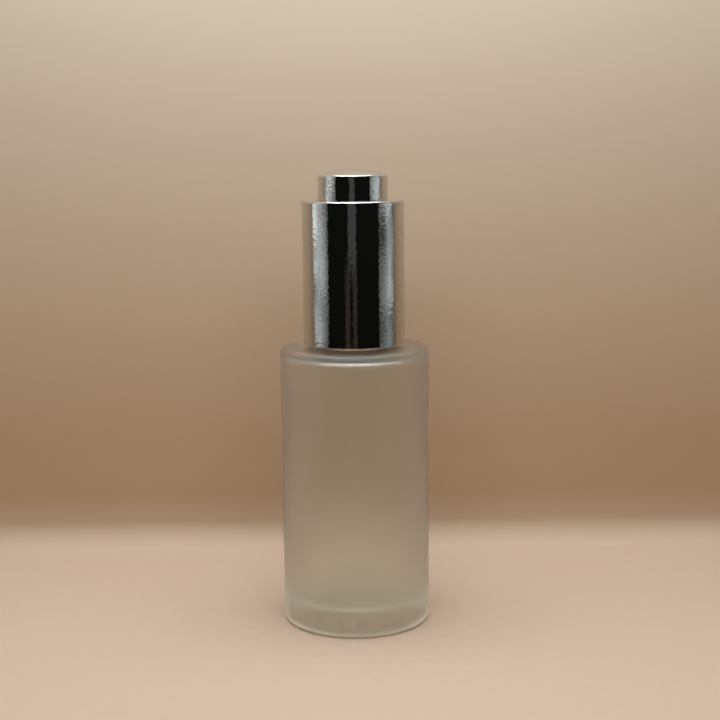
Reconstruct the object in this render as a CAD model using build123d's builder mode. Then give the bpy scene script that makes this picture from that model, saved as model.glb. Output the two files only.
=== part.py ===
"""Foundation bottle: a 30 ml frosted glass cylinder with a push-button dropper closure.

Millimetres, +Z up. The origin is the middle of the base, on the surface the bottle stands on.
Every piece is turned about the Z axis. Only the two screw threads are not round.
"""

from build123d import *
import os

# Glass bottle
BODY_RADIUS = 16.5
BODY_WALL = 2.6
SHOULDER_Z = 62.3
SHOULDER_THICKNESS = 1.8
SHOULDER_FILLET = 1.4
FLOOR_Z = 5.0
CAVITY_FLOOR_FILLET = 2.5
CAVITY_TOP_FILLET = 1.0
THROAT_FILLET = 1.2
BASE_FILLET = 1.0
PUSH_UP_RADIUS = 12.5
PUSH_UP_DEPTH = 0.8

# Neck finish, an 18 mm screw neck with a bead below the thread
NECK_RADIUS = 7.85
NECK_FOOT_FILLET = 0.6
RIM_Z = 75.8
RIM_FILLET = 0.5
MOUTH_RADIUS = 5.25
BEAD_RADIUS = 9.1
BEAD_BOTTOM_Z = 64.4
BEAD_TOP_Z = 66.0
BEAD_FILLET = 0.5

# Screw threads: the neck's stands outwards, the cap's inwards
THREAD_PITCH = 3.0
THREAD_TURNS = 1.5
THREAD_DEPTH = 0.95
THREAD_ROOT_WIDTH = 1.9
THREAD_CREST_WIDTH = 0.8
THREAD_OVERLAP = 0.3
THREAD_START_ANGLE = 30
THREAD_STATIONS = 10
THREAD_END_SIZE = 0.3
THREAD_CLEARANCE = 0.15
NECK_THREAD_Z = 68.6

# Polished collar, the outside of the closure
COLLAR_RADIUS = 11.3
COLLAR_WALL = 0.4
COLLAR_BOTTOM_Z = 63.05
COLLAR_TOP_Z = 94.45
COLLAR_FILLET = 0.45
COLLAR_EDGE_FILLET = 0.12

# Plastic inside the collar: a screw cap and the guide that snaps onto it
FIT_GAP = 0.05
MOULDED_FILLET = 0.3
MOULDED_SMALL_FILLET = 0.2
CAP_BOTTOM_Z = 63.3
WEB_THICKNESS = 1.4
WEB_HOLE_RADIUS = 6.4
SPIGOT_HEIGHT = 3.0
SNAP_BEAD_HEIGHT = 0.6
SNAP_BEAD_DEPTH = 0.2
SNAP_BEAD_FILLET = 0.1
GUIDE_WALL = 1.25
LIP_THICKNESS = 1.5

# Push button: a domed metal shell on a plastic core that a ring keeps in the guide
BUTTON_RADIUS = 7.7
BUTTON_WALL = 0.4
BUTTON_CLEARANCE = 0.2
BUTTON_RIM_Z = 99.85
BUTTON_TOP_Z = 101.3
BUTTON_EDGE_FILLET = 0.35
CORE_RING_CLEARANCE = 0.2
CORE_RING_HEIGHT = 1.2
CORE_CUP_RADIUS = 6.5
CORE_TOP_Z = 99.0
CORE_TEAT_GAP = 0.1
CORE_EDGE_FILLET = 0.5

# Rubber teat, clamped under the cap's web
TEAT_RADIUS = 6.0
TEAT_WALL = 1.1
TEAT_FLANGE_RADIUS = 8.4
TEAT_FLANGE_THICKNESS = 1.5
TEAT_NECK_TOP_Z = 80.2
TEAT_TOP_Z = 96.9
TEAT_CROWN_FILLET = 2.5
TEAT_FOOT_FILLET = 0.4

# Glass pipette with a beaded top and a drawn-out tip
PIPETTE_RADIUS = 3.5
PIPETTE_WALL = 1.1
PIPETTE_BEAD_DEPTH = 0.45
PIPETTE_BEAD_FILLET = 0.6
PIPETTE_MOUTH_FILLET = 0.4
PIPETTE_TOP_Z = 82.2
PIPETTE_TIP_Z = 10.6
TIP_RADIUS = 1.6
TIP_BORE_RADIUS = 0.7
TIP_FILLET = 0.35
TIP_LENGTH = 3.5
TAPER_LENGTH = 11.0
TAPER_FILLET = 8.0

# Soft plug pressed into the mouth, which wipes the pipette as it comes out
WIPER_FLANGE_RADIUS = 7.3
WIPER_FLANGE_THICKNESS = 0.8
WIPER_DEPTH = 9.0
WIPER_BORE_RADIUS = 3.8
WIPER_LIP_RADIUS = 3.58
WIPER_LIP_HEIGHT = 0.8
WIPER_LEAD_IN = 1.2
WIPER_LEAD_IN_DEPTH = 0.1

# Heights and radii that follow from the ones above
cavity_radius = BODY_RADIUS - BODY_WALL
cavity_top_z = SHOULDER_Z - SHOULDER_THICKNESS
flange_bottom_z = RIM_Z + WIPER_FLANGE_THICKNESS + FIT_GAP
flange_top_z = flange_bottom_z + TEAT_FLANGE_THICKNESS
web_bottom_z = flange_top_z + FIT_GAP
web_top_z = web_bottom_z + WEB_THICKNESS
spigot_top_z = web_top_z + SPIGOT_HEIGHT
skirt_radius = NECK_RADIUS + 2 * THREAD_DEPTH + THREAD_CLEARANCE
liner_radius = COLLAR_RADIUS - COLLAR_WALL - FIT_GAP
guide_radius = liner_radius - GUIDE_WALL
guide_top_z = COLLAR_TOP_Z - COLLAR_WALL - FIT_GAP
lip_bottom_z = guide_top_z - LIP_THICKNESS
lip_radius = BUTTON_RADIUS + BUTTON_CLEARANCE
ring_top_z = lip_bottom_z - CORE_RING_CLEARANCE


def half_section(*corners):
    """A closed outline beside the Z axis. A corner is a radius, a height and, if it is rounded, a fillet."""
    with BuildSketch(Plane.XZ) as section:
        with BuildLine():
            points = [corner[:2] for corner in corners]
            fillets = [corner[2] if len(corner) == 3 else 0 for corner in corners]
            FilletPolyline(*points, radius=fillets, close=True)
        make_face()
    return section.sketch


def thread_section(path, position, outwards, size):
    """The thread's trapezium, at a position along its helix and at a share of its full size."""
    point = path @ position
    radial = Vector(point.X, point.Y, 0) * (1 if outwards else -1)
    root = size * THREAD_ROOT_WIDTH / 2
    crest = size * THREAD_CREST_WIDTH / 2
    depth = size * THREAD_DEPTH
    with BuildSketch(Plane(origin=point, x_dir=radial, z_dir=path % position)) as section:
        with BuildLine():
            flank = [(-THREAD_OVERLAP, root), (0, root), (depth, crest)]
            other_flank = [(across, -along) for across, along in reversed(flank)]
            Polyline(*flank, *other_flank, close=True)
        make_face()
    return section.sketch


def add_thread(root_radius, bottom_z, outwards):
    """Sweeps a thread along its helix onto the part in hand. It fades in and out at its ends."""
    with BuildLine(mode=Mode.PRIVATE) as helix:
        Helix(THREAD_PITCH, THREAD_PITCH * THREAD_TURNS, root_radius, center=(0, 0, bottom_z))
    path = helix.edge().rotate(Axis.Z, THREAD_START_ANGLE)
    sections = []
    for station in range(THREAD_STATIONS + 1):
        size = THREAD_END_SIZE if station in (0, THREAD_STATIONS) else 1
        sections.append(thread_section(path, station / THREAD_STATIONS, outwards, size))
    sweep(sections, path=path, multisection=True, is_frenet=True)


# Heavy base, flat shoulder and screw neck, round a cavity that opens at the mouth
with BuildPart() as bottle:
    revolve(half_section(
        (0, 0),
        (BODY_RADIUS, 0, BASE_FILLET),
        (BODY_RADIUS, SHOULDER_Z, SHOULDER_FILLET),
        (NECK_RADIUS, SHOULDER_Z, NECK_FOOT_FILLET),
        (NECK_RADIUS, RIM_Z, RIM_FILLET),
        (0, RIM_Z),
    ))
    revolve(half_section(
        (NECK_RADIUS - THREAD_OVERLAP, BEAD_BOTTOM_Z),
        (BEAD_RADIUS, BEAD_BOTTOM_Z, BEAD_FILLET),
        (BEAD_RADIUS, BEAD_TOP_Z, BEAD_FILLET),
        (NECK_RADIUS - THREAD_OVERLAP, BEAD_TOP_Z),
    ))
    add_thread(NECK_RADIUS, NECK_THREAD_Z, outwards=True)
    revolve(half_section(
        (0, FLOOR_Z),
        (cavity_radius, FLOOR_Z, CAVITY_FLOOR_FILLET),
        (cavity_radius, cavity_top_z, CAVITY_TOP_FILLET),
        (MOUTH_RADIUS, cavity_top_z, THROAT_FILLET),
        (MOUTH_RADIUS, RIM_Z),
        (0, RIM_Z),
    ), mode=Mode.SUBTRACT)
    with BuildSketch(Plane.XZ):
        with BuildLine():
            push_up_sphere = (PUSH_UP_RADIUS**2 + PUSH_UP_DEPTH**2) / (2 * PUSH_UP_DEPTH)
            RadiusArc((PUSH_UP_RADIUS, 0), (0, PUSH_UP_DEPTH), -push_up_sphere)
            Polyline((0, PUSH_UP_DEPTH), (0, 0), (PUSH_UP_RADIUS, 0))
        make_face()
    revolve(axis=Axis.Z, mode=Mode.SUBTRACT)

# Flanged plug in the bottle's mouth, with a thin lip round the pipette
with BuildPart() as wiper_plug:
    stem_radius = MOUTH_RADIUS - FIT_GAP
    revolve(half_section(
        (WIPER_LIP_RADIUS, RIM_Z - WIPER_DEPTH),
        (stem_radius - WIPER_LEAD_IN_DEPTH, RIM_Z - WIPER_DEPTH),
        (stem_radius, RIM_Z - WIPER_DEPTH + WIPER_LEAD_IN),
        (stem_radius, RIM_Z),
        (WIPER_FLANGE_RADIUS, RIM_Z),
        (WIPER_FLANGE_RADIUS, RIM_Z + WIPER_FLANGE_THICKNESS, MOULDED_SMALL_FILLET),
        (WIPER_BORE_RADIUS, RIM_Z + WIPER_FLANGE_THICKNESS, MOULDED_SMALL_FILLET),
        (WIPER_BORE_RADIUS, RIM_Z - WIPER_DEPTH + WIPER_LEAD_IN),
        (WIPER_LIP_RADIUS, RIM_Z - WIPER_DEPTH + WIPER_LIP_HEIGHT),
    ))

# Glass tube, beaded where the teat grips it
with BuildPart() as pipette:
    bore_radius = PIPETTE_RADIUS - PIPETTE_WALL
    taper_bottom_z = PIPETTE_TIP_Z + TIP_LENGTH
    taper_top_z = taper_bottom_z + TAPER_LENGTH
    revolve(half_section(
        (TIP_BORE_RADIUS, PIPETTE_TIP_Z),
        (TIP_RADIUS, PIPETTE_TIP_Z, TIP_FILLET),
        (TIP_RADIUS, taper_bottom_z, TAPER_FILLET),
        (PIPETTE_RADIUS, taper_top_z, TAPER_FILLET),
        (PIPETTE_RADIUS, TEAT_NECK_TOP_Z + FIT_GAP),
        (PIPETTE_RADIUS + PIPETTE_BEAD_DEPTH, TEAT_NECK_TOP_Z + FIT_GAP, PIPETTE_MOUTH_FILLET),
        (PIPETTE_RADIUS + PIPETTE_BEAD_DEPTH, PIPETTE_TOP_Z, PIPETTE_BEAD_FILLET),
        (bore_radius, PIPETTE_TOP_Z, PIPETTE_MOUTH_FILLET),
        (bore_radius, taper_top_z, TAPER_FILLET),
        (TIP_BORE_RADIUS, taper_bottom_z, TAPER_FILLET),
    ))

# Teat: a flange that seals the mouth, a thick neck round the pipette and a thin closed wall above
with BuildPart() as teat:
    revolve(half_section(
        (PIPETTE_RADIUS, flange_bottom_z),
        (TEAT_FLANGE_RADIUS, flange_bottom_z, MOULDED_FILLET),
        (TEAT_FLANGE_RADIUS, flange_top_z, MOULDED_FILLET),
        (TEAT_RADIUS, flange_top_z, TEAT_FOOT_FILLET),
        (TEAT_RADIUS, TEAT_TOP_Z, TEAT_CROWN_FILLET),
        (0, TEAT_TOP_Z),
        (0, TEAT_TOP_Z - TEAT_WALL),
        (TEAT_RADIUS - TEAT_WALL, TEAT_TOP_Z - TEAT_WALL, TEAT_CROWN_FILLET - TEAT_WALL),
        (TEAT_RADIUS - TEAT_WALL, TEAT_NECK_TOP_Z, MOULDED_FILLET),
        (PIPETTE_RADIUS, TEAT_NECK_TOP_Z),
    ))

# Screw cap: threaded skirt, web that presses on the teat's flange, and a beaded spigot
with BuildPart() as thread_cap:
    snap_bottom_z = spigot_top_z - 2 * SNAP_BEAD_HEIGHT
    snap_top_z = spigot_top_z - SNAP_BEAD_HEIGHT
    spigot_radius = guide_radius - FIT_GAP
    revolve(half_section(
        (skirt_radius, CAP_BOTTOM_Z, MOULDED_FILLET),
        (liner_radius, CAP_BOTTOM_Z, MOULDED_FILLET),
        (liner_radius, web_top_z),
        (spigot_radius, web_top_z),
        (spigot_radius, snap_bottom_z),
        (spigot_radius + SNAP_BEAD_DEPTH, snap_bottom_z, SNAP_BEAD_FILLET),
        (spigot_radius + SNAP_BEAD_DEPTH, snap_top_z, SNAP_BEAD_FILLET),
        (spigot_radius, snap_top_z),
        (spigot_radius, spigot_top_z, MOULDED_FILLET),
        (WEB_HOLE_RADIUS, spigot_top_z, MOULDED_FILLET),
        (WEB_HOLE_RADIUS, web_bottom_z, MOULDED_FILLET),
        (skirt_radius, web_bottom_z),
    ))
    add_thread(skirt_radius, NECK_THREAD_Z + THREAD_PITCH / 2, outwards=False)

# Guide: a sleeve that snaps over the spigot, with a lip at the top that keeps the button in
with BuildPart() as button_guide:
    groove_radius = guide_radius + SNAP_BEAD_DEPTH
    revolve(half_section(
        (guide_radius, web_top_z),
        (liner_radius, web_top_z),
        (liner_radius, guide_top_z, MOULDED_SMALL_FILLET),
        (lip_radius, guide_top_z),
        (lip_radius, lip_bottom_z, MOULDED_FILLET),
        (guide_radius, lip_bottom_z, MOULDED_FILLET),
        (guide_radius, snap_top_z + FIT_GAP),
        (groove_radius, snap_top_z + FIT_GAP),
        (groove_radius, snap_bottom_z - FIT_GAP),
        (guide_radius, snap_bottom_z - FIT_GAP),
    ))

# Deep-drawn metal shell over the screw cap and the guide, turned in round the button
with BuildPart() as outer_shell:
    revolve(half_section(
        (COLLAR_RADIUS - COLLAR_WALL, COLLAR_BOTTOM_Z, COLLAR_EDGE_FILLET),
        (COLLAR_RADIUS, COLLAR_BOTTOM_Z, COLLAR_EDGE_FILLET),
        (COLLAR_RADIUS, COLLAR_TOP_Z, COLLAR_FILLET),
        (lip_radius, COLLAR_TOP_Z, COLLAR_EDGE_FILLET),
        (lip_radius, COLLAR_TOP_Z - COLLAR_WALL, COLLAR_EDGE_FILLET),
        (COLLAR_RADIUS - COLLAR_WALL, COLLAR_TOP_Z - COLLAR_WALL, COLLAR_EDGE_FILLET),
    ))

# Button core: a cup over the teat, with the ring that stops under the guide's lip
with BuildPart() as button_core:
    core_radius = BUTTON_RADIUS - BUTTON_WALL - FIT_GAP
    revolve(half_section(
        (CORE_CUP_RADIUS, ring_top_z - CORE_RING_HEIGHT, MOULDED_FILLET),
        (guide_radius - CORE_RING_CLEARANCE, ring_top_z - CORE_RING_HEIGHT, MOULDED_FILLET),
        (guide_radius - CORE_RING_CLEARANCE, ring_top_z, MOULDED_SMALL_FILLET),
        (core_radius, ring_top_z),
        (core_radius, CORE_TOP_Z, CORE_EDGE_FILLET),
        (0, CORE_TOP_Z),
        (0, TEAT_TOP_Z + CORE_TEAT_GAP),
        (CORE_CUP_RADIUS, TEAT_TOP_Z + CORE_TEAT_GAP, CORE_EDGE_FILLET),
    ))

# Button shell: drawn metal with a low dome, standing on the core's ring
with BuildPart() as button_shell:
    with BuildSketch(Plane.XZ):
        with BuildLine():
            dome_height = BUTTON_TOP_Z - BUTTON_RIM_Z
            dome_sphere = (BUTTON_RADIUS**2 + dome_height**2) / (2 * dome_height)
            rim = (BUTTON_RADIUS, BUTTON_RIM_Z)
            crown = (0, BUTTON_TOP_Z)
            RadiusArc(rim, crown, -dome_sphere)
            Polyline(crown, (0, ring_top_z), (BUTTON_RADIUS, ring_top_z), rim)
        rim_corner = make_face().vertices().sort_by(Axis.X)[-2:].sort_by(Axis.Y)[-1]
        fillet(rim_corner, BUTTON_EDGE_FILLET)
    revolve(axis=Axis.Z)
    offset(amount=-BUTTON_WALL, openings=button_shell.faces().sort_by(Axis.Z)[0])

pieces = {
    "bottle": bottle,
    "wiper_plug": wiper_plug,
    "pipette": pipette,
    "teat": teat,
    "thread_cap": thread_cap,
    "button_guide": button_guide,
    "outer_shell": outer_shell,
    "button_core": button_core,
    "button_shell": button_shell,
}
os.makedirs("parts", exist_ok=True)
for name, piece in pieces.items():
    piece.part.label = name
    export_step(piece.part, f"parts/{name}.step")
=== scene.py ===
"""Looks for the foundation bottle: frosted glass, polished metal, and plastic and rubber inside the closure.

Blender works in metres. Outlines below are written in millimetres, as radius and height, and scaled by MM.
"""

import math

import bpy
from mathutils import Matrix, Vector, noise


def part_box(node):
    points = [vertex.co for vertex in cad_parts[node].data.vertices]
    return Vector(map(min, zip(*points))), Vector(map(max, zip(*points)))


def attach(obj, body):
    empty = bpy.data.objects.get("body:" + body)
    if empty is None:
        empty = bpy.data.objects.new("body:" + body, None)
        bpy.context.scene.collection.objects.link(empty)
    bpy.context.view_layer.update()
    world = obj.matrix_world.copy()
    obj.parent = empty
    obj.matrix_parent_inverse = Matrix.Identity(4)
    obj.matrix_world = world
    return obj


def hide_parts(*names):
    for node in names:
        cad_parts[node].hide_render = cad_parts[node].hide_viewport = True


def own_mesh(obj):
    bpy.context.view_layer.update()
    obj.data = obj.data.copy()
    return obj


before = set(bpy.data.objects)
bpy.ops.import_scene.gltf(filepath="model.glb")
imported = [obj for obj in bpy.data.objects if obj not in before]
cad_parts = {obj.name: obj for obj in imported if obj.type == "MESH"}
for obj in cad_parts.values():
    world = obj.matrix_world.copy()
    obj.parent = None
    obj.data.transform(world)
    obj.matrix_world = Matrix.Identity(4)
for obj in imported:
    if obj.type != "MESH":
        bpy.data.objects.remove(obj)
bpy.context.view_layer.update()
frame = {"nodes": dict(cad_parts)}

MM = 0.001

# Sizes that several pieces share, in millimetres, from the CAD nodes' own boxes
bottle_low, bottle_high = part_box("bottle")
shell_low, shell_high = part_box("outer_shell")
button_low, button_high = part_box("button_shell")
teat_low, teat_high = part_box("teat")
BODY_RADIUS = bottle_high.x / MM
RIM_Z = bottle_high.z / MM
COLLAR_RADIUS = shell_high.x / MM
COLLAR_BOTTOM_Z = shell_low.z / MM
COLLAR_TOP_Z = shell_high.z / MM
BUTTON_RADIUS = button_high.x / MM
BUTTON_BOTTOM_Z = button_low.z / MM
BUTTON_TOP_Z = button_high.z / MM
TEAT_BOTTOM_Z = teat_low.z / MM
TEAT_TOP_Z = teat_high.z / MM
TEAT_FLANGE_RADIUS = teat_high.x / MM

# Bottle
SHOULDER_Z = 62.3
SHOULDER_FILLET = 1.4
BASE_FILLET = 1.0
PUSH_UP_RADIUS = 12.5
PUSH_UP_DEPTH = 0.8
CAVITY_RADIUS = BODY_RADIUS - 2.6
CAVITY_TOP_Z = SHOULDER_Z - 1.8
FLOOR_Z = 5.0
CAVITY_FLOOR_FILLET = 2.5
CAVITY_TOP_FILLET = 1.0
MOUTH_RADIUS = 5.25
NECK_RADIUS = 7.85
BEAD_RADIUS = 9.1
BEAD_BOTTOM_Z = 64.4
BEAD_TOP_Z = 66.0
NECK_FOOT_FILLET = 0.6
BEAD_FILLET = 0.5
BEAD_ROOT_FILLET = 0.2
RIM_FILLET = 0.5
MOUTH_FILLET = 0.3
THROAT_FILLET = 1.2
WAVER_DEPTH = 0.12
WAVER_SIZE = 14

# Neck thread
THREAD_PITCH = 3.0
THREAD_TURNS = 1.5
THREAD_DEPTH = 0.95
THREAD_ROOT_WIDTH = 1.9
THREAD_CREST_WIDTH = 0.8
THREAD_BOTTOM_Z = 68.6
THREAD_START = math.radians(30)
THREAD_FADE_TURNS = 0.15

# Metal shells and teat
METAL_WALL = 0.4
SHELL_HOLE_RADIUS = BUTTON_RADIUS + 0.2
SHELL_EDGE_FILLET = 0.12
COLLAR_FILLET = 0.45
DOME_HEIGHT = 1.45
DOME_INSET = 0.5
DOME_FOOT_RISE = 0.19
DOME_INNER_INSET = 0.2
DOME_INNER_FOOT_RISE = 0.08
BUTTON_RIM_FILLET = 0.4
BUTTON_EDGE_FILLET = 0.1
TEAT_RADIUS = 6.0
TEAT_WALL = 1.1
TEAT_FLANGE_THICKNESS = 1.5
TEAT_NECK_TOP_Z = 80.2
TEAT_EDGE_FILLET = 0.3
TEAT_FOOT_FILLET = 0.4
TEAT_CROWN_FILLET = 2.5
TEAT_INNER_CROWN_FILLET = 1.4
PIPETTE_RADIUS = 3.5

# Length of the short pieces that end a long run of an outline, in millimetres
SUPPORT = 0.04


# ---------------------------------------------------------------- turned meshes

def rounded(corners, steps=6):
    """Points of an outline whose corners are (radius, height), or (radius, height, fillet) where filleted."""
    points = []
    for index, corner in enumerate(corners):
        here = Vector(corner[:2])
        if len(corner) == 2:
            points.append(here)
            continue
        before = (Vector(corners[index - 1][:2]) - here).normalized()
        after = (Vector(corners[(index + 1) % len(corners)][:2]) - here).normalized()
        half = before.angle(after) / 2
        centre = here + (before + after).normalized() * corner[2] / math.sin(half)
        start = here + before * corner[2] / math.tan(half) - centre
        end = here + after * corner[2] / math.tan(half) - centre
        turn = -start.angle_signed(end)
        points += [centre + Matrix.Rotation(turn * step / steps, 2) @ start for step in range(steps + 1)]
    return points


def arc_over_axis(radius, foot_z, top_z, steps):
    """Points of a shallow cap from the axis at top_z down, or up, to radius at foot_z."""
    rise = top_z - foot_z
    sphere = (radius**2 + rise**2) / (2 * abs(rise))
    reach = math.asin(radius / sphere)
    sign = 1 if rise > 0 else -1
    angles = [reach * step / steps for step in range(steps + 1)]
    return [Vector((sphere * math.sin(a), top_z - sign * sphere * (1 - math.cos(a)))) for a in angles]


def divided(points, longest, closed):
    """The same outline with its runs cut so that none is longer than longest. The first and last piece of a
    long run are short, which keeps the shading of a corner's rounding from spreading along the run."""
    out = []
    last = len(points) if closed else len(points) - 1
    for index in range(last):
        start, end = points[index], points[(index + 1) % len(points)]
        length = (end - start).length
        out.append(start)
        if length < 4 * SUPPORT:
            continue
        cuts = math.ceil(length / longest)
        places = [SUPPORT, *(length * cut / cuts for cut in range(1, cuts)), length - SUPPORT]
        out += [start.lerp(end, place / length) for place in places]
    return out if closed else out + [points[-1]]


def turned(name, outline, segments=160, closed=False, push=None, slot=None):
    """A mesh turned about the Z axis. push(radius, height, angle) moves a point outwards, in millimetres.
    slot(radius, height) says which material a face takes."""
    verts, rings = [], []
    for radius, height in outline:
        if radius < 1e-6:
            rings.append([len(verts)] * segments)
            verts.append((0, 0, height * MM))
            continue
        rings.append(range(len(verts), len(verts) + segments))
        for segment in range(segments):
            angle = 2 * math.pi * segment / segments
            wide = radius + (push(radius, height, angle) if push else 0)
            verts.append((wide * math.cos(angle) * MM, wide * math.sin(angle) * MM, height * MM))
    faces, slots = [], []
    for index in range(len(rings) if closed else len(rings) - 1):
        low, high = rings[index], rings[(index + 1) % len(rings)]
        middle = (outline[index] + outline[(index + 1) % len(rings)]) / 2
        number = slot(middle.x, middle.y) if slot else 0
        for segment in range(segments):
            following = (segment + 1) % segments
            corners = (low[segment], low[following], high[following], high[segment])
            faces.append(tuple(dict.fromkeys(corners)))
            slots.append(number)
    mesh = bpy.data.meshes.new(name)
    mesh.from_pydata(verts, [], faces)
    mesh.polygons.foreach_set("material_index", slots)
    mesh.shade_smooth()
    mesh.set_sharp_from_angle(angle=math.radians(50))
    mesh.update()
    piece = bpy.data.objects.new(name, mesh)
    bpy.context.scene.collection.objects.link(piece)
    return piece


def thread_height(height, angle):
    """How far the neck's screw thread stands out at a height and an angle, in millimetres."""
    best = 0
    for turn in range(-1, math.ceil(THREAD_TURNS) + 1):
        along = (angle - THREAD_START) / (2 * math.pi) + turn
        if not 0 <= along <= THREAD_TURNS:
            continue
        aside = abs(height - THREAD_BOTTOM_Z - THREAD_PITCH * along) * 2
        share = (THREAD_ROOT_WIDTH - aside) / (THREAD_ROOT_WIDTH - THREAD_CREST_WIDTH)
        share = min(1, max(0, share))
        fade = min(1, along / THREAD_FADE_TURNS, (THREAD_TURNS - along) / THREAD_FADE_TURNS)
        best = max(best, share * share * (3 - 2 * share) * math.sqrt(max(0, fade)))
    return best * THREAD_DEPTH


def wave(radius, height, angle, size, seed):
    """Smooth noise from -1 to 1 over a turned surface, with features about size millimetres across."""
    spot = Vector((radius * math.cos(angle), radius * math.sin(angle), height)) / size
    return noise.noise(spot + Vector((seed, 2 * seed, 3 * seed)))


# ---------------------------------------------------------------- pieces

def make_bottle():
    """Blown glass: a true outside from the mould, and an inside that wavers as blown glass does."""
    outside = arc_over_axis(PUSH_UP_RADIUS, 0, PUSH_UP_DEPTH, 8)
    outside += rounded([
        (PUSH_UP_RADIUS, 0),
        (BODY_RADIUS, 0, BASE_FILLET),
        (BODY_RADIUS, SHOULDER_Z, SHOULDER_FILLET),
        (NECK_RADIUS, SHOULDER_Z, NECK_FOOT_FILLET),
        (NECK_RADIUS, BEAD_BOTTOM_Z, BEAD_ROOT_FILLET),
        (BEAD_RADIUS, BEAD_BOTTOM_Z, BEAD_FILLET),
        (BEAD_RADIUS, BEAD_TOP_Z, BEAD_FILLET),
        (NECK_RADIUS, BEAD_TOP_Z, BEAD_ROOT_FILLET),
        (NECK_RADIUS, RIM_Z, RIM_FILLET),
        (MOUTH_RADIUS, RIM_Z, MOUTH_FILLET),
        (MOUTH_RADIUS, CAVITY_TOP_Z, THROAT_FILLET),
        (CAVITY_RADIUS, CAVITY_TOP_Z, CAVITY_TOP_FILLET),
        (CAVITY_RADIUS, FLOOR_Z, CAVITY_FLOOR_FILLET),
        (0, FLOOR_Z),
    ], steps=14)[1:]
    outline = []
    for index in range(len(outside) - 1):
        pair = outside[index:index + 2]
        in_thread = pair[0].x == pair[1].x == NECK_RADIUS
        outline += divided(pair, 0.15 if in_thread else 1.5, closed=False)[:-1]
    outline.append(outside[-1])

    def inside(radius, height):
        in_cavity = radius <= CAVITY_RADIUS + 0.01 and FLOOR_Z - 0.01 <= height <= CAVITY_TOP_Z + 0.01
        return in_cavity or (radius <= MOUTH_RADIUS + 0.2 and height > CAVITY_TOP_Z)

    def push(radius, height, angle):
        if abs(radius - NECK_RADIUS) < 0.01 and height > BEAD_TOP_Z:
            return thread_height(height, angle)
        if inside(radius, height) and radius > MOUTH_RADIUS + 1:
            return WAVER_DEPTH * wave(radius, height, angle, WAVER_SIZE, 4)
        return 0

    def slot(radius, height):
        """0 is the etched outside, 1 the inside, 2 the cavity's floor and the underside, 3 the foot."""
        on_underside = height < PUSH_UP_DEPTH and radius < BODY_RADIUS - BASE_FILLET
        if on_underside or inside(radius, height) and height < FLOOR_Z + CAVITY_FLOOR_FILLET:
            return 2
        if inside(radius, height):
            return 1
        return 3 if height < FLOOR_Z else 0

    bottle = turned("bottle_glass", outline, 192, push=push, slot=slot)
    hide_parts("bottle")
    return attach(bottle, "bottle")


def make_outer_shell():
    """Deep-drawn collar: a thin tube with a small radius round its top, turned in to the button's hole."""
    inner = COLLAR_RADIUS - METAL_WALL
    outline = divided(rounded([
        (inner, COLLAR_BOTTOM_Z, SHELL_EDGE_FILLET),
        (COLLAR_RADIUS, COLLAR_BOTTOM_Z, SHELL_EDGE_FILLET),
        (COLLAR_RADIUS, COLLAR_TOP_Z, COLLAR_FILLET),
        (SHELL_HOLE_RADIUS, COLLAR_TOP_Z, SHELL_EDGE_FILLET),
        (SHELL_HOLE_RADIUS, COLLAR_TOP_Z - METAL_WALL, SHELL_EDGE_FILLET),
        (inner, COLLAR_TOP_Z - METAL_WALL, SHELL_EDGE_FILLET),
    ]), 0.8, closed=True)
    shell = turned("outer_shell_metal", outline, 192, closed=True)
    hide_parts("outer_shell")
    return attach(shell, "cap")


def make_button_shell():
    """Drawn button cover: a thin cup, open below, with a low dome and a small radius at its rim."""
    rim_z = BUTTON_TOP_Z - DOME_HEIGHT
    dome_foot = (BUTTON_RADIUS - DOME_INSET, rim_z + DOME_FOOT_RISE)
    inner_foot = (BUTTON_RADIUS - METAL_WALL - DOME_INNER_INSET, rim_z - METAL_WALL + DOME_INNER_FOOT_RISE)
    dome = arc_over_axis(*dome_foot, BUTTON_TOP_Z, 12)
    inner_dome = arc_over_axis(*inner_foot, BUTTON_TOP_Z - METAL_WALL, 12)
    side = rounded([
        dome_foot,
        (BUTTON_RADIUS, rim_z, BUTTON_RIM_FILLET),
        (BUTTON_RADIUS, BUTTON_BOTTOM_Z, BUTTON_EDGE_FILLET),
        (BUTTON_RADIUS - METAL_WALL, BUTTON_BOTTOM_Z, BUTTON_EDGE_FILLET),
        (BUTTON_RADIUS - METAL_WALL, rim_z - METAL_WALL, BUTTON_EDGE_FILLET),
        inner_foot,
    ])
    outline = divided(dome[:-1] + side + inner_dome[-2::-1], 0.8, closed=False)
    shell = turned("button_shell_metal", outline, 160)
    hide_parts("button_shell")
    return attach(shell, "button")


def make_teat():
    """Moulded rubber teat, on a mesh of its own. The real one flattens towards its flange when the button is
    pressed.
    """
    flange_top = TEAT_BOTTOM_Z + TEAT_FLANGE_THICKNESS
    inner = TEAT_RADIUS - TEAT_WALL
    outline = divided(rounded([
        (PIPETTE_RADIUS, TEAT_BOTTOM_Z),
        (TEAT_FLANGE_RADIUS, TEAT_BOTTOM_Z, TEAT_EDGE_FILLET),
        (TEAT_FLANGE_RADIUS, flange_top, TEAT_EDGE_FILLET),
        (TEAT_RADIUS, flange_top, TEAT_FOOT_FILLET),
        (TEAT_RADIUS, TEAT_TOP_Z, TEAT_CROWN_FILLET),
        (0, TEAT_TOP_Z),
        (0, TEAT_TOP_Z - TEAT_WALL),
        (inner, TEAT_TOP_Z - TEAT_WALL, TEAT_INNER_CROWN_FILLET),
        (inner, TEAT_NECK_TOP_Z, TEAT_EDGE_FILLET),
        (PIPETTE_RADIUS, TEAT_NECK_TOP_Z),
    ]), 0.8, closed=True)
    teat = turned("teat_rubber", outline, 96, closed=True)
    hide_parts("teat")
    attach(teat, "dropper")
    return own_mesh(teat)


# ---------------------------------------------------------------- materials

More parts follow.
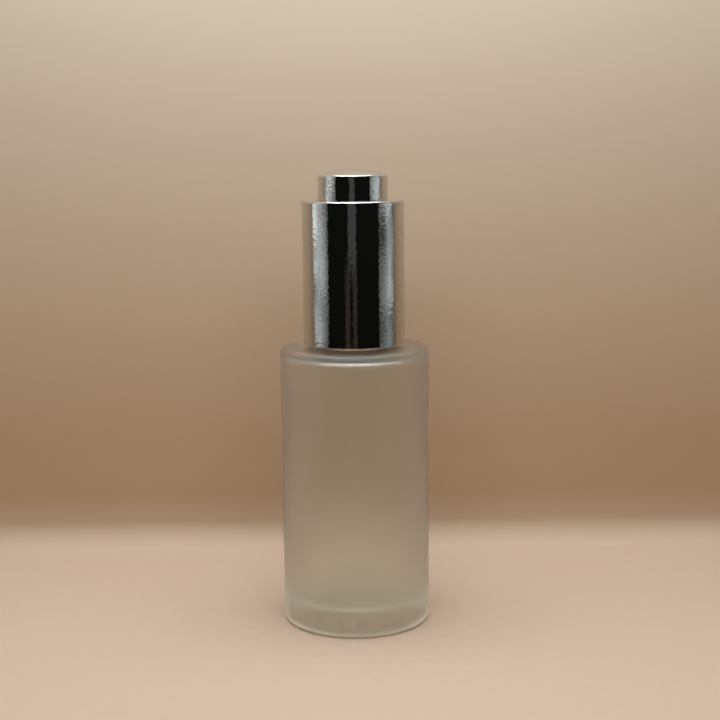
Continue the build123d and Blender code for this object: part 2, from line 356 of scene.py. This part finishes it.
class Material:
    """A Principled material and short ways to add nodes to it. Positions are the object's own, in metres."""

    def __init__(self, name, **values):
        self.material = bpy.data.materials.new(name)
        self.material.use_nodes = True
        self.tree = self.material.node_tree
        self.shader = self.tree.nodes["Principled BSDF"]
        self.place = self.tree.nodes.new("ShaderNodeTexCoord").outputs["Object"]
        for socket, value in values.items():
            self.shader.inputs[socket.replace("_", " ")].default_value = value

    def stretched(self, x, y, z):
        """The position, scaled along each axis."""
        mapping = self.tree.nodes.new("ShaderNodeMapping")
        mapping.inputs["Scale"].default_value = (x, y, z)
        self.tree.links.new(self.place, mapping.inputs["Vector"])
        return mapping.outputs["Vector"]

    def noise(self, size_mm, detail=2.0, roughness=0.5, place=None):
        """Noise from 0 to 1 with features about size_mm across."""
        node = self.tree.nodes.new("ShaderNodeTexNoise")
        node.inputs["Scale"].default_value = 1 / (size_mm * MM)
        node.inputs["Detail"].default_value = detail
        node.inputs["Roughness"].default_value = roughness
        self.tree.links.new(place or self.place, node.inputs["Vector"])
        return node.outputs["Fac"]

    def between(self, source, low, high, from_low=0.3, from_high=0.7):
        """A number that goes from low to high as source goes from from_low to from_high."""
        node = self.tree.nodes.new("ShaderNodeMapRange")
        sockets = ("From Min", "From Max", "To Min", "To Max")
        for socket, value in zip(sockets, (from_low, from_high, low, high)):
            node.inputs[socket].default_value = value
        self.tree.links.new(source, node.inputs["Value"])
        return node.outputs["Result"]

    def blend(self, source, colour_a, colour_b):
        """A colour from colour_a to colour_b as source goes from 0 to 1. Either may come from a node."""
        node = self.tree.nodes.new("ShaderNodeMix")
        node.data_type = "RGBA"
        for socket, colour in (("A", colour_a), ("B", colour_b)):
            if isinstance(colour, tuple):
                node.inputs[socket].default_value = (*colour, 1)
            else:
                self.tree.links.new(colour, node.inputs[socket])
        self.tree.links.new(source, node.inputs["Factor"])
        return node.outputs["Result"]

    def axes(self):
        """The position's x, y and z."""
        separate = self.tree.nodes.new("ShaderNodeSeparateXYZ")
        self.tree.links.new(self.place, separate.inputs["Vector"])
        return separate.outputs["X"], separate.outputs["Y"], separate.outputs["Z"]

    def maths(self, operation, first, second=0):
        """The result of a sum on one or two numbers, each a node's or a plain one."""
        node = self.tree.nodes.new("ShaderNodeMath")
        node.operation = operation
        for socket, value in zip(node.inputs, (first, second)):
            if isinstance(value, (int, float)):
                socket.default_value = value
            else:
                self.tree.links.new(value, socket)
        return node.outputs["Value"]

    def bump(self, source, depth_mm, strength=1.0, under=None):
        """A bump whose full height is depth_mm, over another bump if one is given."""
        node = self.tree.nodes.new("ShaderNodeBump")
        node.inputs["Strength"].default_value = strength
        node.inputs["Distance"].default_value = depth_mm * MM
        self.tree.links.new(source, node.inputs["Height"])
        if under:
            self.tree.links.new(under, node.inputs["Normal"])
        return node.outputs["Normal"]

    def set(self, **sources):
        """Links sources to the shader's sockets."""
        for socket, source in sources.items():
            self.tree.links.new(source, self.shader.inputs[socket.replace("_", " ")])
        return self


def frosted_glass():
    """Acid-etched outside: even and matt, with a faint cloudiness and a fine tooth."""
    glass = Material(
        "frosted_glass", Transmission_Weight=1.0, IOR=1.5, Metallic=0.0,
        Coat_Weight=0.3, Coat_Roughness=0.25, Coat_IOR=1.5,
    )
    cloud = glass.noise(9, 3)
    glass.set(
        Base_Color=glass.blend(glass.between(cloud, 0, 1), (0.965, 0.97, 0.92), (0.99, 0.995, 0.95)),
        Roughness=glass.between(cloud, 0.38, 0.43),
        Normal=glass.bump(glass.noise(0.25, 3, 0.6), 0.012, 0.5),
    )
    return glass.material


def deep_etched_glass(name, transmission, roughness):
    """Glass that also scatters light back, for the foot, the underside and the cavity's floor."""
    glass = Material(name, Transmission_Weight=transmission, IOR=1.5, Metallic=0.0)
    cloud = glass.noise(4, 3)
    glass.set(
        Base_Color=glass.blend(glass.between(cloud, 0, 1), (0.91, 0.95, 0.91), (0.96, 0.99, 0.955)),
        Roughness=glass.between(cloud, roughness - 0.04, roughness + 0.04),
        Normal=glass.bump(glass.noise(0.25, 3, 0.6), 0.012, 0.5),
    )
    return glass.material


def smooth_glass(name):
    """Fire-polished glass with the faintest waver in it."""
    glass = Material(name, Transmission_Weight=1.0, IOR=1.5, Metallic=0.0)
    waver = glass.noise(6, 1)
    glass.set(
        Base_Color=glass.blend(glass.between(waver, 0, 1), (0.95, 0.97, 0.955), (0.97, 0.985, 0.975)),
        Roughness=glass.between(waver, 0.01, 0.04),
        Normal=glass.bump(waver, 0.01, 0.4),
    )
    return glass.material


def polished_metal():
    """Chromed drawn metal. Drawing leaves an orange peel that breaks up what the metal mirrors."""
    metal = Material("polished_metal", Metallic=1.0)
    peel = metal.noise(0.75, 2, 0.55)
    swell = metal.noise(5, 1, 0.5, metal.stretched(1, 1, 0.35))
    metal.set(
        Base_Color=metal.blend(metal.between(peel, 0, 1), (0.62, 0.635, 0.635), (0.70, 0.71, 0.705)),
        Roughness=metal.between(swell, 0.02, 0.05),
        Normal=metal.bump(peel, 0.022, 1.0, metal.bump(swell, 0.01, 1.0)),
    )
    return metal.material


def moulded_plastic(name, dark, light, roughness, grain_mm):
    """Moulded plastic: slightly see-through, with flow marks and the mould's fine grain."""
    plastic = Material(name, IOR=1.49, Subsurface_Weight=0.15, Subsurface_Scale=0.002)
    flow = plastic.noise(4, 2, 0.5, plastic.stretched(1, 1, 0.4))
    plastic.set(
        Base_Color=plastic.blend(plastic.between(flow, 0, 1), dark, light),
        Roughness=plastic.between(flow, roughness - 0.06, roughness + 0.06),
        Normal=plastic.bump(plastic.noise(grain_mm, 2), 0.01, 0.4),
    )
    return plastic.material


def rubber():
    """Silicone rubber: soft sheen, a little dusty, with a satin skin."""
    skin = Material("teat_rubber", IOR=1.42, Subsurface_Weight=0.3, Subsurface_Scale=0.003, Sheen_Weight=0.15)
    dust = skin.noise(1.5, 4, 0.6)
    skin.set(
        Base_Color=skin.blend(skin.between(dust, 0, 1), (0.66, 0.65, 0.60), (0.76, 0.75, 0.70)),
        Roughness=skin.between(dust, 0.42, 0.56),
        Normal=skin.bump(skin.noise(0.35, 3), 0.015, 0.4),
    )
    return skin.material


def give(piece, *materials):
    """Puts these materials in a piece's slots, in order."""
    piece.data.materials.clear()
    for material in materials:
        piece.data.materials.append(material)


# ---------------------------------------------------------------- stage, lights and camera

FLOOR_COLOUR = (0.605, 0.475, 0.372)
# Backdrop colours: painted shade at the foot of the wall and painted light at its head, not the paper's own
# colour
WALL_FOOT_SHADE_COLOUR = (0.47, 0.32, 0.20)
WALL_HEAD_LIGHT_COLOUR = (0.61, 0.533, 0.437)
WALL_FOOT_TOP_Z = 0.014
WALL_FADE = (0.03, 0.145)
WALL_Y = 0.0535
WALL_FOOT_RADIUS = 0.007
WALL_HEIGHT = 0.7
PAPER_LIFT = 0.0002
STAGE_REACH = 1.5

# Light emitted under the bottle, at the first of these radii and the second, in millimetres
UNDER_GLOW = (0.27, 0.45)
UNDER_GLOW_RADII = (9, 15)
UNDER_GLOW_FADE = 0.3
UNDER_GLOW_COLOUR = (0.9, 0.88, 0.71)


def sheet(name, rows):
    """A stage piece whose rows of points, all as long, are joined into a strip."""
    width = len(rows[0])
    faces = []
    for row in range(len(rows) - 1):
        for column in range(width - 1):
            corner = row * width + column
            faces.append((corner, corner + 1, corner + width + 1, corner + width))
    mesh = bpy.data.meshes.new(name)
    mesh.from_pydata([point for row in rows for point in row], [], faces)
    mesh.shade_smooth()
    piece = bpy.data.objects.new(name, mesh)
    bpy.context.scene.collection.objects.link(piece)
    return piece


def clear_behind(look, surface):
    """Lets a sheet be seen only from its front, so that it hides nothing in views from behind it."""
    nodes, links = look.tree.nodes, look.tree.links
    mix = nodes.new("ShaderNodeMixShader")
    links.new(nodes.new("ShaderNodeNewGeometry").outputs["Backfacing"], mix.inputs["Fac"])
    links.new(surface, mix.inputs[1])
    links.new(nodes.new("ShaderNodeBsdfTransparent").outputs["BSDF"], mix.inputs[2])
    links.new(mix.outputs["Shader"], nodes["Material Output"].inputs["Surface"])


def floor_paper():
    """The floor's pale paper. Under the bottle, hidden from outside, it emits light. That is a lighting aid
    that brings the foot and lower body near the photograph's brightness. The real floor has none of it."""
    look = Material("floor_paper", Roughness=0.8)
    fibre = look.noise(3, 4, 0.6)
    lighter = tuple(min(1, channel * 1.04) for channel in FLOOR_COLOUR)
    look.set(Base_Color=look.blend(look.between(fibre, 0, 1), FLOOR_COLOUR, lighter))
    x, y, _ = look.axes()
    squares = look.maths("ADD", look.maths("MULTIPLY", x, x), look.maths("MULTIPLY", y, y))
    from_axis = look.maths("SQRT", squares)
    glow = look.between(from_axis, *UNDER_GLOW, *(radius * MM for radius in UNDER_GLOW_RADII))
    rest_radius = BODY_RADIUS - BASE_FILLET
    edge = look.between(from_axis, 1, 0, (rest_radius - UNDER_GLOW_FADE) * MM, rest_radius * MM)
    look.shader.inputs["Emission Color"].default_value = (*UNDER_GLOW_COLOUR, 1)
    return look.set(Emission_Strength=look.maths("MULTIPLY", glow, edge))


def painted_shade_paper(name):
    """Backdrop paper with painted light and shade: it starts in the floor's colour, darkens above its foot
    with painted shade and pales with height with painted light.
    """
    look = Material(name, Roughness=0.8)
    height = look.axes()[2]
    upper = look.blend(look.between(height, 0, 1, *WALL_FADE), WALL_FOOT_SHADE_COLOUR, WALL_HEAD_LIGHT_COLOUR)
    whole = look.blend(look.between(height, 0, 1, 0, WALL_FOOT_TOP_Z), FLOOR_COLOUR, upper)
    look.set(Base_Color=whole, Roughness=look.between(look.noise(3, 4, 0.6), 0.75, 0.85))
    return look


def make_stage():
    """A plain floor and, behind the bottle, paper that curves up from it, with painted shade low down and
    painted light higher up in its colour.
    """
    reach = STAGE_REACH
    floor = sheet("floor", [[(-reach, y, 0), (reach, y, 0)] for y in (-reach, reach)])
    give(floor, floor_paper().material)
    curve = [(WALL_Y - WALL_FOOT_RADIUS, PAPER_LIFT)]
    for step in range(1, 17):
        angle = math.pi / 2 * step / 16
        curve.append((
            WALL_Y - WALL_FOOT_RADIUS + WALL_FOOT_RADIUS * math.sin(angle),
            PAPER_LIFT + WALL_FOOT_RADIUS * (1 - math.cos(angle)),
        ))
    curve.append((WALL_Y, WALL_HEIGHT))
    wall = sheet("backdrop", [[(-reach, y, z), (reach, y, z)] for y, z in curve])
    look = painted_shade_paper("backdrop_paper")
    clear_behind(look, look.shader.outputs["BSDF"])
    give(wall, look.material)


def soft_light(name, place, target, width, height, power, colour):
    """A rectangular soft light at place that faces target."""
    data = bpy.data.lights.new(name, "AREA")
    data.shape = "RECTANGLE"
    data.size, data.size_y = width, height
    data.energy = power
    data.color = colour
    light = bpy.data.objects.new(name, data)
    light.location = place
    light.rotation_euler = (Vector(target) - Vector(place)).to_track_quat("-Z", "Y").to_euler()
    light.visible_camera = False
    bpy.context.scene.collection.objects.link(light)
    return light


CARD_HEIGHT = 0.5
CARD_FULL_GLOW_Z = 0.085


def glowing_card(name, bearings, colour, glows, foot_z=0, top_z=CARD_HEIGHT, crumple=0, distance=0.33):
    """A card bent round the bottle between two bearings, in degrees from the camera's, positive to the right.
    Its glow rises from the first of glows at the floor to the second. With three bearings the glow is full at
    the middle one, and fades from there to almost nothing at the first and to a share at the last."""
    rows = []
    for height in (foot_z, top_z):
        row = []
        for step in range(33):
            bearing = math.radians(bearings[-1] + (bearings[0] - bearings[-1]) * step / 32)
            row.append((distance * math.sin(bearing), -distance * math.cos(bearing), height))
        rows.append(row if bearings[0] < bearings[-1] else row[::-1])
    card = sheet(name, rows)
    look = Material(name)
    x, y, z = look.axes()
    strength = look.between(z, *glows, 0, CARD_FULL_GLOW_Z)
    if len(bearings) == 3:
        bearing = look.maths("ARCTAN2", x, look.maths("MULTIPLY", y, -1))
        near, full, far = (math.radians(value) for value in bearings)
        strength = look.maths("MULTIPLY", strength, look.between(bearing, 0.02, 1, near, full))
        strength = look.maths("MULTIPLY", strength, look.between(bearing, 0.3, 1, far, full))
    if crumple:
        creases = look.noise(16, 2, 0.6, look.stretched(0.05, 0.05, 1))
        creases = look.between(creases, 1 - crumple, 1 + crumple, 0.35, 0.65)
        strength = look.maths("MULTIPLY", strength, creases)
    glow = look.tree.nodes.new("ShaderNodeEmission")
    glow.inputs["Color"].default_value = (*colour, 1)
    look.tree.links.new(strength, glow.inputs["Strength"])
    clear_behind(look, glow.outputs["Emission"])
    give(card, look.material)
    card.visible_camera = False
    card.visible_shadow = False
    return card


FORK_Z = 0.064
FRONT_DISTANCE = 0.2
GAP_DISTANCE = 0.195
SILVER = (0.97, 1, 0.97)
FORK_COLOUR = (1, 0.7, 0.45)


def make_lights():
    """Soft lights above, crumpled silver cards at the sides, and in front a dark card with a narrow grey gap
    that forks into two brown ones. The camera sees no card. Only glossy surfaces see those in front."""
    soft_light("light_above", (0, 0, 0.28), (0, 0, 0), 0.24, 0.2, 0.75, (1, 0.99, 0.975))
    soft_light("light_front", (0, -0.2, 0.22), (0, 0, 0.04), 0.2, 0.05, 0.2, (1, 0.99, 0.97))
    glowing_card("card_left", (-52, -92, -112), SILVER, (0.3, 0.8), crumple=0.8)
    glowing_card("card_right", (48, 87, 112), SILVER, (0.2, 0.5), crumple=0.8)
    low_gap = {"top_z": FORK_Z, "distance": GAP_DISTANCE}
    front = [
        glowing_card("card_front", (-57, 57), (1, 1, 0.9), (0.004, 0.006), distance=FRONT_DISTANCE),
        glowing_card("gap", (-11, 6), (0.95, 0.98, 1), (0.04, 0.065), foot_z=FORK_Z, distance=GAP_DISTANCE),
        glowing_card("gap_fork_left", (-18, -8), FORK_COLOUR, (0.035, 0.045), **low_gap),
        glowing_card("gap_fork_right", (-2, 7), FORK_COLOUR, (0.03, 0.05), **low_gap),
    ]
    for card in front:
        card.visible_diffuse = False
        card.visible_transmission = False
    world = bpy.data.worlds.new("room")
    bpy.context.scene.world = world
    world.use_nodes = True
    background = world.node_tree.nodes["Background"]
    background.inputs["Color"].default_value = (0.85, 0.70, 0.50, 1)
    background.inputs["Strength"].default_value = 0.15


CAMERA_DISTANCE = 0.2882
CAMERA_HEIGHT = 0.1049
CAMERA_PITCH = math.radians(9.05)
CAMERA_YAW = math.radians(-0.245)
CAMERA_ROLL = math.radians(-0.58)
CAMERA_LENS = 65.4


def make_camera():
    data = bpy.data.cameras.new("camera")
    data.lens = CAMERA_LENS
    data.sensor_width = 36
    data.clip_start = 0.01
    camera = bpy.data.objects.new("camera", data)
    aim = Matrix.Rotation(CAMERA_YAW, 4, "Z") @ Matrix.Rotation(math.pi / 2 - CAMERA_PITCH, 4, "X")
    camera.matrix_world = (
        Matrix.Translation((0, -CAMERA_DISTANCE, CAMERA_HEIGHT)) @ aim @ Matrix.Rotation(CAMERA_ROLL, 4, "Z")
    )
    bpy.context.scene.collection.objects.link(camera)
    bpy.context.scene.camera = camera


nodes = frame["nodes"]
metal = polished_metal()
white = moulded_plastic("white_plastic", (0.72, 0.72, 0.69), (0.80, 0.80, 0.77), 0.38, 0.4)
natural = moulded_plastic("natural_plastic", (0.62, 0.64, 0.61), (0.72, 0.73, 0.70), 0.3, 0.3)
give(
    make_bottle(), frosted_glass(), smooth_glass("inside_glass"),
    deep_etched_glass("base_glass", 0.5, 0.6), deep_etched_glass("foot_glass", 0.52, 0.42),
)
give(make_outer_shell(), metal)
give(make_button_shell(), metal)
give(make_teat(), rubber())
give(nodes["pipette"], smooth_glass("clear_glass"))
give(nodes["wiper_plug"], natural)
for name in ("thread_cap", "button_guide", "button_core"):
    give(nodes[name], white)
make_stage()
make_lights()
make_camera()
bpy.context.scene.view_settings.view_transform = "Standard"
